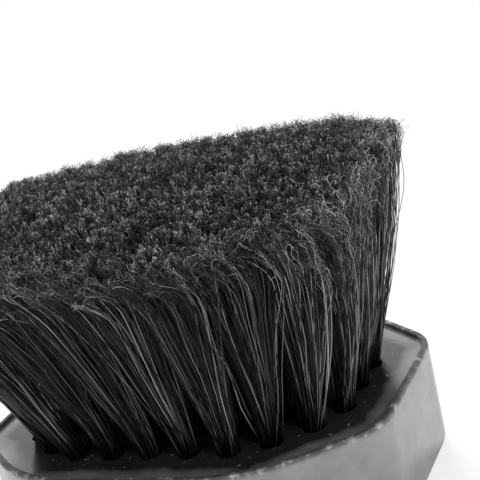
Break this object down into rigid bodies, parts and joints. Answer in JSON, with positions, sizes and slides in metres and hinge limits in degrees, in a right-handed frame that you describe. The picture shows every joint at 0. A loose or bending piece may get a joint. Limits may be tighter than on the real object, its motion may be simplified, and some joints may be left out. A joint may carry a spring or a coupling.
{
  "type": "wash brush",
  "caption": "Wash brush head: a thick moulded plastic block with cut corners and a low lip, and splayed tufts of soft black bristle set in blind holes in its face.",
  "frame": {"origin": "centre of the block's flat back, the lowest face, with the bristle tips up", "axes": "+X along the block's long side, +Y along its short side, +Z out of the bristle side of the block"},
  "size_m": [0.133, 0.116, 0.0898],
  "materials": {
    "block": "semi-gloss grey",
    "bristle": "soft flagged black bristle"
  },
  "bodies": {
    "root": {"block": "block", "tuft_middle_01": "bristle", "tuft_middle_02": "bristle", "tuft_middle_03": "bristle", "tuft_outer_01": "bristle", "tuft_outer_02": "bristle", "tuft_outer_03": "bristle", "tuft_outer_04": "bristle", "tuft_outer_05": "bristle", "tuft_outer_06": "bristle", "tuft_outer_07": "bristle", "tuft_outer_08": "bristle", "tuft_outer_09": "bristle", "tuft_outer_10": "bristle", "tuft_outer_11": "bristle", "tuft_outer_12": "bristle", "tuft_outer_13": "bristle", "tuft_outer_14": "bristle", "tuft_outer_15": "bristle", "tuft_outer_16": "bristle", "tuft_outer_17": "bristle", "tuft_outer_18": "bristle", "tuft_outer_19": "bristle", "tuft_outer_20": "bristle", "tuft_outer_21": "bristle", "tuft_outer_22": "bristle", "tuft_outer_23": "bristle", "tuft_outer_24": "bristle", "tuft_second_01": "bristle", "tuft_second_02": "bristle", "tuft_second_03": "bristle", "tuft_second_04": "bristle", "tuft_second_05": "bristle", "tuft_second_06": "bristle", "tuft_second_07": "bristle", "tuft_second_08": "bristle", "tuft_second_09": "bristle", "tuft_second_10": "bristle", "tuft_second_11": "bristle", "tuft_second_12": "bristle", "tuft_second_13": "bristle", "tuft_second_14": "bristle", "tuft_second_15": "bristle", "tuft_second_16": "bristle", "tuft_second_17": "bristle", "tuft_second_18": "bristle", "tuft_third_01": "bristle", "tuft_third_02": "bristle", "tuft_third_03": "bristle", "tuft_third_04": "bristle", "tuft_third_05": "bristle", "tuft_third_06": "bristle", "tuft_third_07": "bristle", "tuft_third_08": "bristle", "tuft_third_09": "bristle", "tuft_third_10": "bristle", "tuft_third_11": "bristle", "tuft_third_12": "bristle"}
  },
  "joints": []
}
